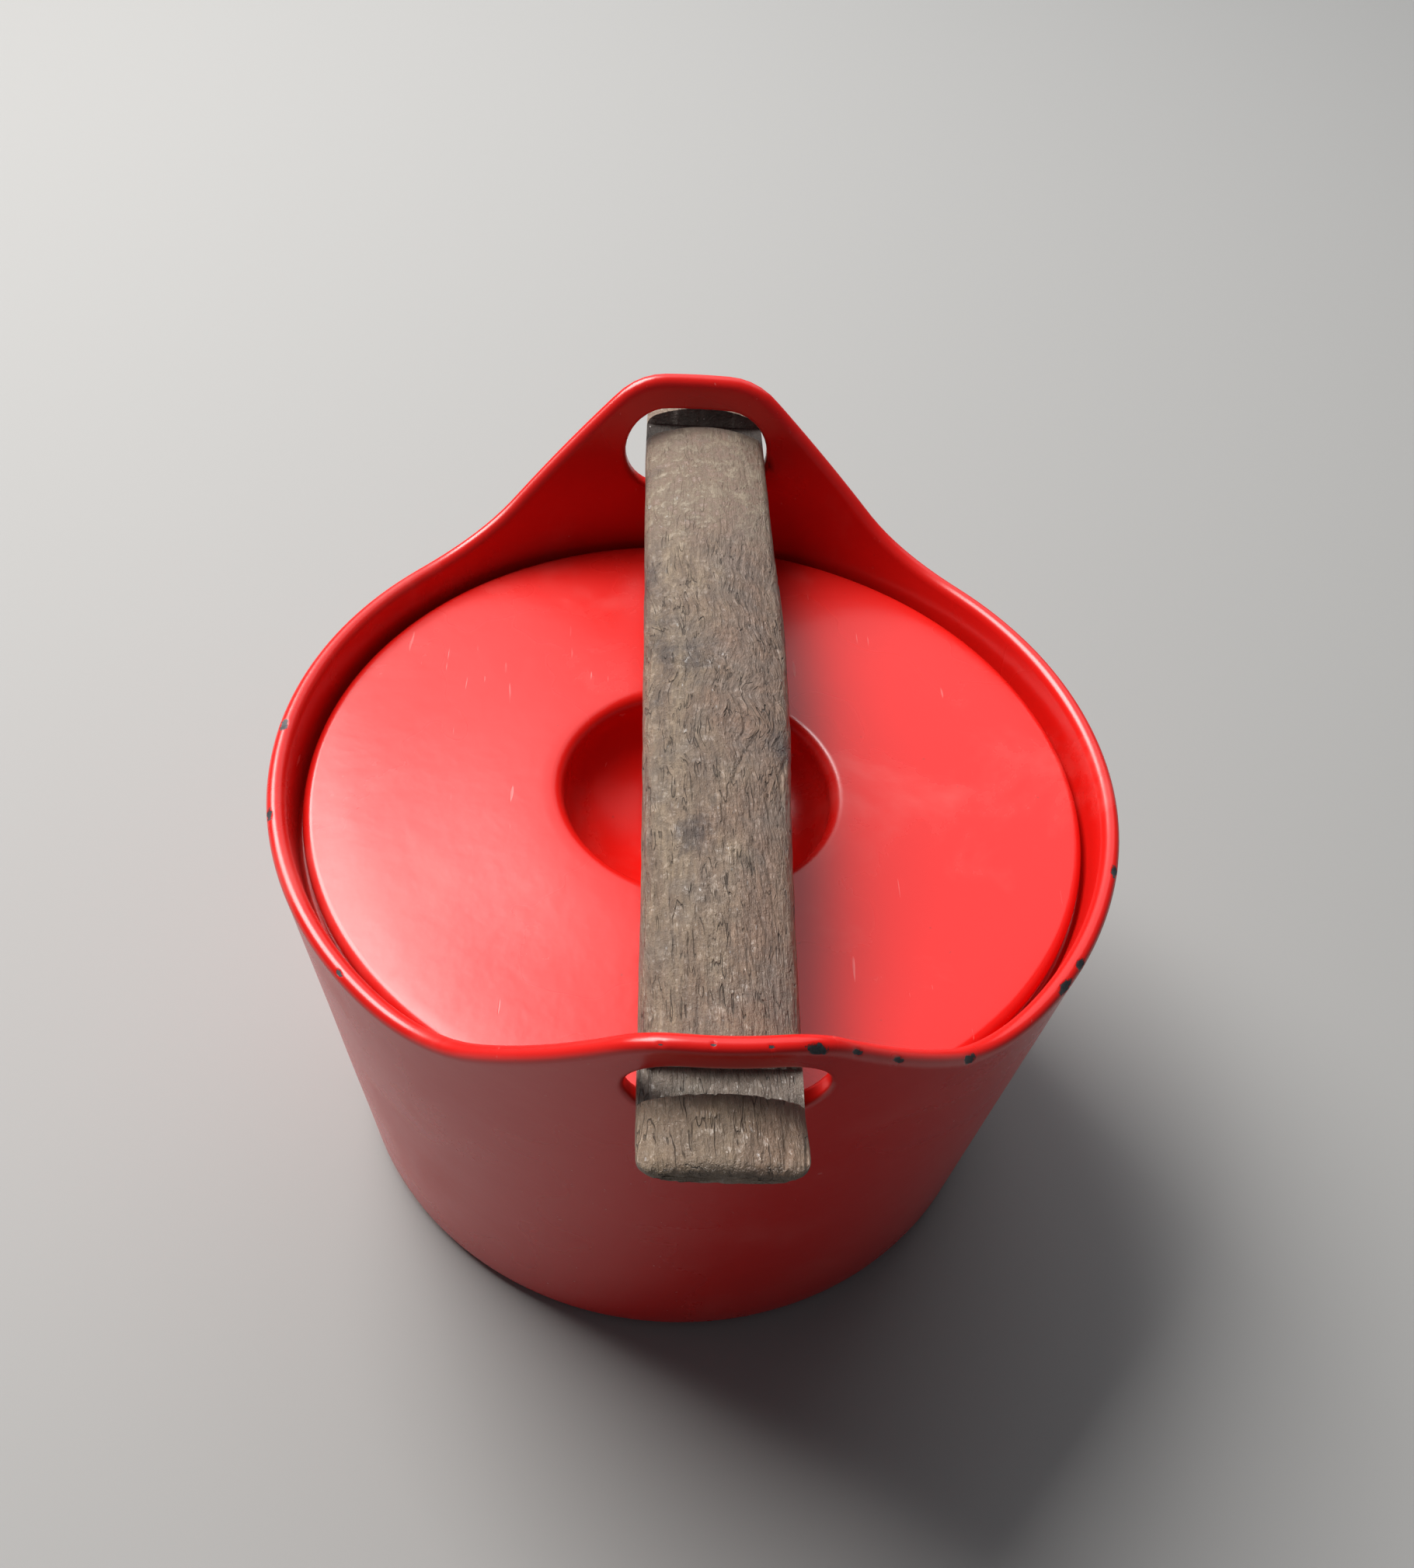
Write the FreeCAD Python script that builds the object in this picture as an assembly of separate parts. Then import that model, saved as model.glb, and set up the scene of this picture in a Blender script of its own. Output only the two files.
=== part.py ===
import FreeCAD, Part
import math
import os

from FreeCAD import Vector

# Enamelled cast-iron cooking pot with a dropped-in lid and a wooden bar handle that lies
# in the holes of two lugs. Millimetres, +Z up, origin at the middle of the flat base.
# The lugs rise at +Y and -Y and the handle runs along Y.

# Pot wall
base_radius = 93.0          # outer wall carried down to the table
rim_radius = 103.0          # outside, at the low rim
rim_height = 124.8          # low rim above the table
flare_start = 112.0         # the wall starts to curve outwards here
flare_radius = 470.0        # curve of the upper wall and the lugs
wall = 4.4                  # rim and lug thickness
base_corner = 6.9           # outer bottom corner radius
floor_thickness = 5.5
inner_corner = 9.0          # inner bottom corner radius
lower_wall = 5.2            # wall thickness where it meets the floor
rim_round = 1.9             # rounding of the rim's two edges

# Lugs
lug_flat = 9.0              # half-length of the level crest
lug_slope = 41.0            # steepest slope of the shoulders, degrees
crest_radius = 20.0         # from the crest into the shoulder
foot_radius = 38.0          # from the shoulder into the low rim
arch_height = 8.3           # iron left between the hole and the crest
hole_rise = 7.7             # hole's lower edge above the low rim
hole_round = 1.5            # rounding of the hole's edges
hole_side_play = 5.7        # hole's width beyond the handle's, level with the sides' top
hole_shift = 0.6            # both holes lie a little to +X
hole_top_play = 3.3         # the handle lifts this far before its notches engage

# Lid and its seat
seat_depth = 14.5           # seat below the low rim
seat_ledge = 3.6            # width of the ledge under the lid's flange
seat_gap = 0.3              # lid's flange above the ledge
lid_side_gap = 1.4          # around the flange
lid_flange = 5.9            # flange thickness
lid_edge_round = 2.6
lid_plate = 4.4             # plate thickness between the flange and the recess
locating_ring = 5.0         # ring under the flange, height
locating_width = 4.5
locating_gap = 1.2          # ring to the inside of the ledge

# Finger recess in the lid, with its lifting bar
recess_radius = 33.2
recess_depth = 22.0
recess_round = 3.4
recess_wall = 4.2
bar_width = 15.0
bar_thickness = 8.4
bar_drop = 0.8              # bar's top below the lid's top
bar_round = 3.2

# Handle
handle_overhang = 17.7      # each end past the lug's outer face
handle_near_width = 32.0    # at the -Y end
handle_far_width = 31.8     # at the +Y end
handle_mid_width = 34.0
handle_bow = 1.2            # the bar's middle bows to +X
handle_thickness = 19.0
handle_crown = 4.0          # rise of the domed top over the sides
handle_edge_gap = 0.9       # the lower long edges follow the hole's round ends, tighter by this
handle_shoulder = 3.4       # rounding of the upper long edges
handle_rest_gap = 0.3       # handle above the hole's lower edge
handle_turn = 1.05          # the loose handle lies a little askew, degrees
handle_shift = 1.0          # and a little to +X
notch_depth = 5.5
notch_play_inside = 1.5     # notch past the lug's inner face
notch_play_outside = 2.7    # notch past the lug's outer face
end_corner = 4.0            # plan rounding of the handle's ends
end_top_round = 2.5
end_face = 2.3              # height of the upright face of each end
end_sweep = 14.0            # below it the ends sweep back under the bar, this far
end_swell = 1.0             # outward bulge of the sweep


def polar(cx, cz, radius, angle):
    a = math.radians(angle)
    return Vector(cx + radius * math.cos(a), 0, cz + radius * math.sin(a))


def arc(cx, cz, radius, start, end):
    """Arc in the XZ plane, angles in degrees."""
    mid = (start + end) / 2
    points = [polar(cx, cz, radius, a) for a in (start, mid, end)]
    return Part.Arc(*points).toShape()


def line(a, b):
    return Part.LineSegment(a, b).toShape()


def at(x, z):
    return Vector(x, 0, z)


def revolved(edges):
    face = Part.Face(Part.Wire(edges))
    return face.revolve(Vector(0, 0, 0), Vector(0, 0, 1), 360)


def prism(edges, direction):
    return Part.Face(Part.Wire(edges)).extrude(direction)


# Outer wall: a straight cone up to flare_start, then an arc tangent to it
wall_slope = math.atan((rim_radius - base_radius) / rim_height)
flare_x = base_radius + flare_start * math.tan(wall_slope)
flare_centre = at(flare_x + flare_radius * math.cos(wall_slope),
                  flare_start - flare_radius * math.sin(wall_slope))


def outer_radius(z):
    if z <= flare_start:
        return base_radius + z * math.tan(wall_slope)
    return flare_centre.x - math.sqrt(flare_radius ** 2 - (z - flare_centre.z) ** 2)


def inner_radius(z):
    """Inside of the wall above the lid's seat."""
    return outer_radius(z) - wall


seat_z = rim_height - seat_depth
lid_bottom = seat_z + seat_gap
lid_top = lid_bottom + lid_flange
lid_radius = inner_radius(lid_bottom) - lid_side_gap
ledge_radius = lid_radius + lid_side_gap - seat_ledge
hole_height = handle_rest_gap + handle_thickness + hole_top_play
# The hole's round ends draw in above its middle, so a taller handle gets a wider hole
side_top = handle_rest_gap + handle_thickness - handle_crown - hole_height / 2
draw_in = hole_height / 2 - math.sqrt((hole_height / 2) ** 2 - side_top ** 2)
hole_width = max(handle_near_width, handle_far_width) + hole_side_play + 2 * draw_in
hole_z = rim_height + hole_rise + hole_height / 2
hole_left = hole_shift - hole_width / 2
hole_right = hole_shift + hole_width / 2
lug_height = hole_z + hole_height / 2 + arch_height
handle_bottom = hole_z - hole_height / 2 + handle_rest_gap
handle_top = handle_bottom + handle_thickness
handle_length = 2 * (outer_radius(handle_top) + handle_overhang)
handle_edge = min(hole_height / 2 - handle_edge_gap,
                  handle_thickness - handle_crown - handle_shoulder - 0.5)


def wall_curve(offset, top):
    """Points on the upper wall's curve, offset inwards from the outside."""
    heights = (flare_start, (flare_start + top) / 2, top)
    return [at(outer_radius(z) - offset, z) for z in heights]


def lug_cutter():
    """Everything above the rim line, as a prism along Y over the whole pot."""
    rise = lug_height - rim_height
    sine = math.sin(math.radians(lug_slope))
    versine = 1 - math.cos(math.radians(lug_slope))
    straight_rise = rise - versine * (crest_radius + foot_radius)
    crest_end = lug_flat + sine * crest_radius
    foot_start = crest_end + straight_rise / math.tan(math.radians(lug_slope))
    foot_end = foot_start + sine * foot_radius
    crest_z = lug_height - versine * crest_radius
    foot_z = rim_height + versine * foot_radius
    reach = outer_radius(lug_height) + 20
    above = lug_height + 20
    edges = []
    for side in (1, -1):
        crest_mid = math.radians(90 - lug_slope / 2)
        crest_centre_z = lug_height - crest_radius
        foot_centre_z = rim_height + foot_radius
        crest_points = [
            at(side * lug_flat, lug_height),
            at(side * (lug_flat + crest_radius * math.cos(crest_mid)),
               crest_centre_z + crest_radius * math.sin(crest_mid)),
            at(side * crest_end, crest_z)]
        foot_points = [
            at(side * foot_start, foot_z),
            at(side * (foot_end - foot_radius * math.cos(crest_mid)),
               foot_centre_z - foot_radius * math.sin(crest_mid)),
            at(side * foot_end, rim_height)]
        edges.append(Part.Arc(*crest_points).toShape())
        edges.append(line(crest_points[2], foot_points[0]))
        edges.append(Part.Arc(*foot_points).toShape())
        edges.append(line(foot_points[2], at(side * reach, rim_height)))
        edges.append(line(at(side * reach, rim_height), at(side * reach, above)))
    edges.append(line(at(-lug_flat, lug_height), at(lug_flat, lug_height)))
    edges.append(line(at(-reach, above), at(reach, above)))
    wire = Part.Wire(Part.sortEdges(edges)[0])
    prism_y = Part.Face(wire).extrude(Vector(0, 2 * reach, 0))
    prism_y.translate(Vector(0, -reach, 0))
    return prism_y


def hole_cutter():
    """The oblong handle holes, through both lugs."""
    radius = hole_height / 2
    left, right = hole_left + radius, hole_right - radius
    edges = [
        line(at(left, hole_z + radius), at(right, hole_z + radius)),
        arc(right, hole_z, radius, 90, -90),
        line(at(right, hole_z - radius), at(left, hole_z - radius)),
        arc(left, hole_z, radius, -90, -270)]
    reach = outer_radius(lug_height) + 20
    cutter = prism(edges, Vector(0, 2 * reach, 0))
    cutter.translate(Vector(0, -reach, 0))
    return cutter


def is_rim_edge(edge):
    """The rim's two long edges: at or above the low rim and away from the holes."""
    box = edge.BoundBox
    on_hole = box.ZMin > hole_z - hole_height and box.ZMax < lug_height - arch_height + 0.5
    on_hole = on_hole and box.XMin > hole_left - 0.5 and box.XMax < hole_right + 0.5
    return box.ZMin > rim_height - 0.01 and not on_hole


def is_hole_edge(edge):
    box = edge.BoundBox
    inside = box.XMin > hole_left - 0.01 and box.XMax < hole_right + 0.01
    low = box.ZMin > hole_z - hole_height / 2 - 0.01
    return inside and low and box.ZMax < hole_z + hole_height / 2 + 0.01


def make_pot():
    tan = math.tan(wall_slope)
    corner_turn = 90 - math.degrees(wall_slope)
    corner_x = base_radius + base_corner * tan - base_corner / math.cos(wall_slope)
    corner_end = polar(corner_x, base_corner, base_corner, -math.degrees(wall_slope))
    outer = wall_curve(0, lug_height)
    inner = wall_curve(wall, lug_height)
    inner_low = outer_radius(floor_thickness) - lower_wall
    inner_slope = math.atan((ledge_radius - inner_low) / (seat_z - floor_thickness))
    inner_x = (inner_low + inner_corner * math.tan(inner_slope)
               - inner_corner / math.cos(inner_slope))
    inner_z = floor_thickness + inner_corner
    inner_end = polar(inner_x, inner_z, inner_corner, -math.degrees(inner_slope))
    edges = [
        line(at(0, 0), at(corner_x, 0)),
        arc(corner_x, base_corner, base_corner, -90, -90 + corner_turn),
        line(corner_end, outer[0]),
        Part.Arc(*outer).toShape(),
        line(outer[2], inner[2]),
        Part.Arc(inner[2], inner[1], inner[0]).toShape(),
        line(inner[0], at(inner_radius(seat_z), seat_z)),
        line(at(inner_radius(seat_z), seat_z), at(ledge_radius, seat_z)),
        line(at(ledge_radius, seat_z), inner_end),
        arc(inner_x, inner_z, inner_corner, -math.degrees(inner_slope), -90),
        line(at(inner_x, floor_thickness), at(0, floor_thickness)),
        line(at(0, floor_thickness), at(0, 0))]
    pot = revolved(edges).cut(lug_cutter()).cut(hole_cutter())
    pot = pot.removeSplitter()
    for side in (1, -1):
        edges = [e for e in pot.Edges if is_hole_edge(e) and side * e.BoundBox.Center.y > 0]
        pot = pot.makeFillet(hole_round, edges)
    return pot.makeFillet(rim_round, [e for e in pot.Edges if is_rim_edge(e)])


def make_lid():
    ring_out = ledge_radius - locating_gap
    ring_in = ring_out - locating_width
    plate_bottom = lid_top - lid_plate
    recess_top = lid_top - recess_round
    bowl_height = recess_depth - recess_round
    # The bowl is a quarter ellipse, and its outside is the same ellipse one wall larger
    inside_end = at(recess_radius, recess_top)
    quarter_in = bowl_curve(recess_radius, bowl_height, recess_top, inside_end)
    outer_width = recess_radius + recess_wall
    outer_depth = bowl_height + recess_wall
    under_x = outer_width * math.sqrt(1 - ((recess_top - plate_bottom) / outer_depth) ** 2)
    lowest = recess_top - outer_depth
    quarter_out = bowl_curve(outer_width, outer_depth, recess_top, at(under_x, plate_bottom))
    edge_x = lid_radius - lid_edge_round
    edge_z = lid_top - lid_edge_round
    edges = [
        quarter_in,
        arc(recess_radius + recess_round, recess_top, recess_round, 180, 90),
        line(at(recess_radius + recess_round, lid_top), at(edge_x, lid_top)),
        arc(edge_x, edge_z, lid_edge_round, 90, 0),
        line(at(lid_radius, edge_z), at(lid_radius, lid_bottom)),
        line(at(lid_radius, lid_bottom), at(ring_out, lid_bottom)),
        line(at(ring_out, lid_bottom), at(ring_out, lid_bottom - locating_ring)),
        line(at(ring_out, lid_bottom - locating_ring), at(ring_in, lid_bottom - locating_ring)),
        line(at(ring_in, lid_bottom - locating_ring), at(ring_in, plate_bottom)),
        line(at(ring_in, plate_bottom), at(under_x, plate_bottom)),
        quarter_out,
        line(at(0, lowest), at(0, lid_top - recess_depth))]
    plate = revolved(Part.sortEdges(edges)[0])
    return plate.fuse(make_bar()).removeSplitter()


def bowl_curve(width, depth, top, start):
    """An ellipse's arc from start down to its lowest point, on the axis."""
    lowest = at(0, top - depth)
    ellipse = Part.Ellipse(at(width, top), lowest, at(0, top))
    ends = sorted((ellipse.parameter(start), ellipse.parameter(lowest)))
    return Part.ArcOfEllipse(ellipse, *ends).toShape()


def make_bar():
    """Lifting bar across the recess, along Y, its ends inside the recess wall."""
    reach = recess_radius + recess_wall / 2
    bar_top = lid_top - bar_drop
    bar = Part.makeBox(bar_width, 2 * reach, bar_thickness,
                       Vector(-bar_width / 2, -reach, bar_top - bar_thickness))
    long_edges = [e for e in bar.Edges if e.BoundBox.YLength > reach]
    return bar.makeFillet(bar_round, long_edges)


def handle_plan():
    """Seen from above: slightly barrelled and bowed, with rounded ends."""
    end = handle_length / 2
    near = handle_near_width / 2
    far = handle_far_width / 2
    mid = handle_mid_width / 2

    def p(x, y):
        return Vector(x, y, handle_bottom)

    edges = [
        Part.Arc(p(near, -end), p(handle_bow + mid, 0), p(far, end)).toShape(),
        line(p(far, end), p(-far, end)),
        Part.Arc(p(-far, end), p(handle_bow - mid, 0), p(-near, -end)).toShape(),
        line(p(-near, -end), p(near, -end))]
    plan = prism(edges, Vector(0, 0, handle_thickness + 1))
    corners = [e for e in plan.Edges if e.BoundBox.ZLength > handle_thickness]
    return plan.makeFillet(end_corner, corners)


def handle_crown_cutter():
    """The space under the domed top, wider and longer than the bar."""
    half = handle_mid_width / 2
    crown_radius = (half ** 2 + handle_crown ** 2) / (2 * handle_crown)
    reach = half + handle_bow + 2
    centre_z = handle_top - crown_radius
    side_z = centre_z + math.sqrt(crown_radius ** 2 - reach ** 2)
    low = handle_bottom - 1
    edges = [
        Part.Arc(at(reach, side_z), at(0, handle_top), at(-reach, side_z)).toShape(),
        line(at(-reach, side_z), at(-reach, low)),
        line(at(-reach, low), at(reach, low)),
        line(at(reach, low), at(reach, side_z))]
    crown = prism(edges, Vector(0, handle_length + 2, 0))
    crown.translate(Vector(0, -handle_length / 2 - 1, 0))
    return crown


def handle_side():
    """Seen from the side: ends that sweep back below, and a notch in the top for each lug."""
    end = handle_length / 2
    notch_in = inner_radius(handle_top) - notch_play_inside
    notch_out = outer_radius(handle_top) + notch_play_outside
    notch_z = handle_top - notch_depth
    top_y = end - end_top_round
    top_z = handle_top - end_top_round
    face_z = top_z - end_face
    drop = face_z - handle_bottom
    chord = math.hypot(end_sweep, drop)
    round_step = end_top_round * math.sqrt(0.5)

    def p(y, z):
        return Vector(-handle_mid_width, y, z)

    def outline(side):
        """One end, from the middle of the underside round to the middle of the top."""
        sweep_middle = p(side * (end - end_sweep / 2 + end_swell * drop / chord),
                         (face_z + handle_bottom) / 2 - end_swell * end_sweep / chord)
        return [
            line(p(0, handle_bottom), p(side * (end - end_sweep), handle_bottom)),
            Part.Arc(p(side * (end - end_sweep), handle_bottom), sweep_middle,
                     p(side * end, face_z)).toShape(),
            line(p(side * end, face_z), p(side * end, top_z)),
            Part.Arc(p(side * end, top_z),
                     p(side * (top_y + round_step), top_z + round_step),
                     p(side * top_y, handle_top)).toShape(),
            line(p(side * top_y, handle_top), p(side * notch_out, handle_top)),
            line(p(side * notch_out, handle_top), p(side * notch_out, notch_z)),
            line(p(side * notch_out, notch_z), p(side * notch_in, notch_z)),
            line(p(side * notch_in, notch_z), p(side * notch_in, handle_top)),
            line(p(side * notch_in, handle_top), p(0, handle_top))]

    edges = Part.sortEdges(outline(1) + outline(-1))[0]
    return prism(edges, Vector(2 * handle_mid_width, 0, 0))


def make_handle():
    bar = handle_plan().common(handle_crown_cutter())
    low_edges = [e for e in bar.Edges if e.BoundBox.YLength > handle_length / 2
                 and e.BoundBox.ZMax < handle_bottom + 0.1]
    bar = bar.makeFillet(handle_edge, low_edges)
    high_edges = [e for e in bar.Edges if e.BoundBox.YLength > handle_length / 2
                  and e.BoundBox.ZMin > handle_bottom + handle_thickness / 2]
    bar = bar.makeFillet(handle_shoulder, high_edges)
    handle = bar.common(handle_side()).removeSplitter()
    handle.rotate(Vector(0, 0, 0), Vector(0, 0, 1), -handle_turn)
    handle.translate(Vector(handle_shift, 0, 0))
    return handle


os.makedirs("parts", exist_ok=True)
for name, make in (("pot", make_pot), ("lid", make_lid), ("handle", make_handle)):
    shape = make()
    solid = shape.Solids[0]
    box = solid.BoundBox
    print(name, len(shape.Solids), "solid, valid", shape.isValid(),
          "volume cm3 %.1f" % (solid.Volume / 1000),
          "box %.1f %.1f %.1f to %.1f %.1f %.1f" % (
              box.XMin, box.YMin, box.ZMin, box.XMax, box.YMax, box.ZMax))
    solid.exportStep("parts/%s.step" % name)
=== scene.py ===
import math
import bmesh
import bpy
import numpy as np
from mathutils import Matrix, Vector, noise


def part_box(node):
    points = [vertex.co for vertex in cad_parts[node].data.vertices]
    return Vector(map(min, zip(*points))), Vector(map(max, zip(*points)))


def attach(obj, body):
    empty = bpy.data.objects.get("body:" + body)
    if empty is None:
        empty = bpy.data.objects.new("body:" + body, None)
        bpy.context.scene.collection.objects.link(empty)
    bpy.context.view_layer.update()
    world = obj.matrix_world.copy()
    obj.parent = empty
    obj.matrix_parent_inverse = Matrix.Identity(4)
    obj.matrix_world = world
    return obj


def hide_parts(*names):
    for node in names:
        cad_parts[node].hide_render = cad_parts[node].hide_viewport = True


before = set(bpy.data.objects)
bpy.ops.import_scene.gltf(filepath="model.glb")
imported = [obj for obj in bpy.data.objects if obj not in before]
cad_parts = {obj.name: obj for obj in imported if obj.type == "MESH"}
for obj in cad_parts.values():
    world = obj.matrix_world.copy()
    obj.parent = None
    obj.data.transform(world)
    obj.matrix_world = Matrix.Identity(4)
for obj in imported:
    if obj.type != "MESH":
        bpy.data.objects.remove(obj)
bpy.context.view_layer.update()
scene = bpy.context.scene
mm = 0.001
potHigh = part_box("pot")[1]
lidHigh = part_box("lid")[1]
handleLow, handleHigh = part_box("handle")


# One smooth mesh object, with values for its points under their labels
def makePiece(name, points, faces, values=None):
    mesh = bpy.data.meshes.new(name)
    mesh.from_pydata([tuple(p) for p in points], [], faces)
    for label, numbers in (values or {}).items():
        layer = mesh.attributes.new(label, "FLOAT", "POINT")
        layer.data.foreach_set("value", np.asarray(numbers, np.float32))
    work = bmesh.new()
    work.from_mesh(mesh)
    loose = [v for v in work.verts if not v.link_faces]
    bmesh.ops.delete(work, geom=loose, context="VERTS")
    bmesh.ops.recalc_face_normals(work, faces=work.faces)
    work.to_mesh(mesh)
    work.free()
    mesh.polygons.foreach_set("use_smooth", [True] * len(mesh.polygons))
    piece = bpy.data.objects.new(name, mesh)
    scene.collection.objects.link(piece)
    return piece


# Quads between rows of vertex numbers. A row of one number is a pole
def addRows(faces, rows, skip=None):
    for level, (low, high) in enumerate(zip(rows, rows[1:])):
        count = max(len(low), len(high))
        for i in range(count):
            if skip and skip(level, i):
                continue
            j = (i + 1) % count
            corners = [low[i % len(low)], low[j % len(low)], high[j % len(high)], high[i % len(high)]]
            face = list(dict.fromkeys(corners))
            if len(face) > 2:
                faces.append(face)


# Evenly spaced values without the first one
def roundStep(start, stop, count):
    return [start + (stop - start) * (i + 1) / count for i in range(count)]


# Smooth noise, about -1 to 1, with bumps of the given size
def wave(point, size, seed):
    return noise.noise(Vector((point[0] / size + seed, point[1] / size, point[2] / size)))


potSizes = {
    "baseRadius": 93.0 * mm,
    "rimRadius": 103.0 * mm,
    "rimHeight": 124.8 * mm,
    "flareStart": 112.0 * mm,
    "flareRadius": 470.0 * mm,
    "wall": 4.4 * mm,
    "baseCorner": 6.9 * mm,
    "floorThickness": 5.5 * mm,
    "innerCorner": 9.0 * mm,
    "lowerWall": 5.2 * mm,
    "seatDepth": 14.5 * mm,
    "seatLedge": 3.6 * mm,
    "lugFlat": 9.0 * mm,
    "lugSlope": 41.0,
    "crestRadius": 20.0 * mm,
    "footRadius": 38.0 * mm,
    "archHeight": 8.3 * mm,
    "holeWidth": 39.2 * mm,
    "holeShift": 0.6 * mm,
    "holeHeight": 22.6 * mm,
    "holeRound": 1.3 * mm,
    "columns": 232,
    "castUnevenness": 0.10 * mm,
    "chipSink": 0.3 * mm,
}

# Enamel chips: turn from +Y towards +X in degrees, place across the rim from 0 outside
# to 1 inside, length along the rim, width across it
rimChips = [
    (-85.0, 0.42, 3.4 * mm, 2.0 * mm),
    (-101.5, 0.27, 3.4 * mm, 1.8 * mm),
    (-129.5, 0.34, 2.2 * mm, 1.0 * mm),
    (171.8, 0.24, 3.6 * mm, 2.4 * mm),
    (167.2, 0.30, 2.2 * mm, 1.1 * mm),
    (161.6, 0.26, 2.4 * mm, 1.2 * mm),
    (149.5, 0.22, 3.6 * mm, 2.0 * mm),
    (130.0, 0.26, 4.6 * mm, 2.4 * mm),
    (125.6, 0.28, 3.2 * mm, 2.0 * mm),
    (108.5, 0.30, 3.4 * mm, 2.2 * mm),
    (-178.0, 0.40, 1.0 * mm, 0.6 * mm),
    (-173.0, 0.32, 0.9 * mm, 0.5 * mm),
    (176.5, 0.36, 1.2 * mm, 0.6 * mm),
    (20.0, 0.15, 1.3 * mm, 0.7 * mm),
]

wallSlope = math.atan((potSizes["rimRadius"] - potSizes["baseRadius"]) / potSizes["rimHeight"])
flareX = potSizes["baseRadius"] + potSizes["flareStart"] * math.tan(wallSlope)
flareCentre = (flareX + potSizes["flareRadius"] * math.cos(wallSlope),
               potSizes["flareStart"] - potSizes["flareRadius"] * math.sin(wallSlope))
lugTop = potHigh.z


def outerRadius(z):
    if z <= potSizes["flareStart"]:
        return potSizes["baseRadius"] + z * math.tan(wallSlope)
    return flareCentre[0] - math.sqrt(potSizes["flareRadius"] ** 2 - (z - flareCentre[1]) ** 2)


# Height and slope of the rim's top line, from the lug's crest out to the low rim
def rimLine(x):
    size = potSizes
    slope = math.radians(size["lugSlope"])
    crest, foot = size["crestRadius"], size["footRadius"]
    crestEnd = size["lugFlat"] + math.sin(slope) * crest
    crestZ = lugTop - (1 - math.cos(slope)) * crest
    footZ = size["rimHeight"] + (1 - math.cos(slope)) * foot
    footStart = crestEnd + (crestZ - footZ) / math.tan(slope)
    footEnd = footStart + math.sin(slope) * foot
    side, x = (1 if x >= 0 else -1), abs(x)
    if x <= size["lugFlat"]:
        return lugTop, 0.0
    if x <= crestEnd:
        d = x - size["lugFlat"]
        down = math.sqrt(crest ** 2 - d ** 2)
        return lugTop - crest + down, -side * d / down
    if x <= footStart:
        return crestZ - (x - crestEnd) * math.tan(slope), -side * math.tan(slope)
    if x <= footEnd:
        d = footEnd - x
        down = math.sqrt(foot ** 2 - d ** 2)
        return size["rimHeight"] + foot - down, -side * d / down
    return size["rimHeight"], 0.0


# Column angles: even all round, finer at each chip. They start at +X
def rimTurns():
    turns = [90 + 360 * i / potSizes["columns"] for i in range(potSizes["columns"])]
    for turn, _, length, _ in rimChips:
        reach = math.degrees(length * 0.9 / potSizes["rimRadius"])
        centre = (turn - 90) % 360 + 90
        steps = max(6, int(2 * reach / 0.26))
        turns += [(centre - reach + 2 * reach * i / steps - 90) % 360 + 90 for i in range(steps + 1)]
    turns = sorted(turns)
    kept = [turns[0]]
    for turn in turns[1:]:
        if turn - kept[-1] > 0.16 and turn < 449.9:
            kept.append(turn)
    return [math.radians(t) for t in kept]


# Where a ray from the hole's middle meets the hole's outline, grown outwards
def stadiumPoint(direction, grow):
    half = (potSizes["holeWidth"] - potSizes["holeHeight"]) / 2
    radius = potSizes["holeHeight"] / 2 + grow
    stretched = Vector((direction[0] * (half + radius) / radius, direction[1])).normalized()
    ux, uz = stretched
    if abs(uz) > 1e-9 and radius / abs(uz) * abs(ux) <= half:
        t = radius / abs(uz)
    else:
        along = abs(ux) * half
        t = along + math.sqrt(max(along ** 2 - half ** 2 + radius ** 2, 0))
    return ux * t, uz * t


# Below 0 inside a chip, and growing to 1 and more away from it
def chipDepth(turn, across):
    nearest = 4.0
    for chipTurn, chipAcross, length, width in rimChips:
        gap = (math.degrees(turn) - chipTurn + 180) % 360 - 180
        along = math.radians(gap) * potSizes["rimRadius"] / (length / 2)
        if abs(along) > 5:
            continue
        over = (across - chipAcross) * potSizes["wall"] * 1.57 / (width / 2)
        nearest = min(nearest, math.hypot(along, over) - 1)
    return nearest


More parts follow.
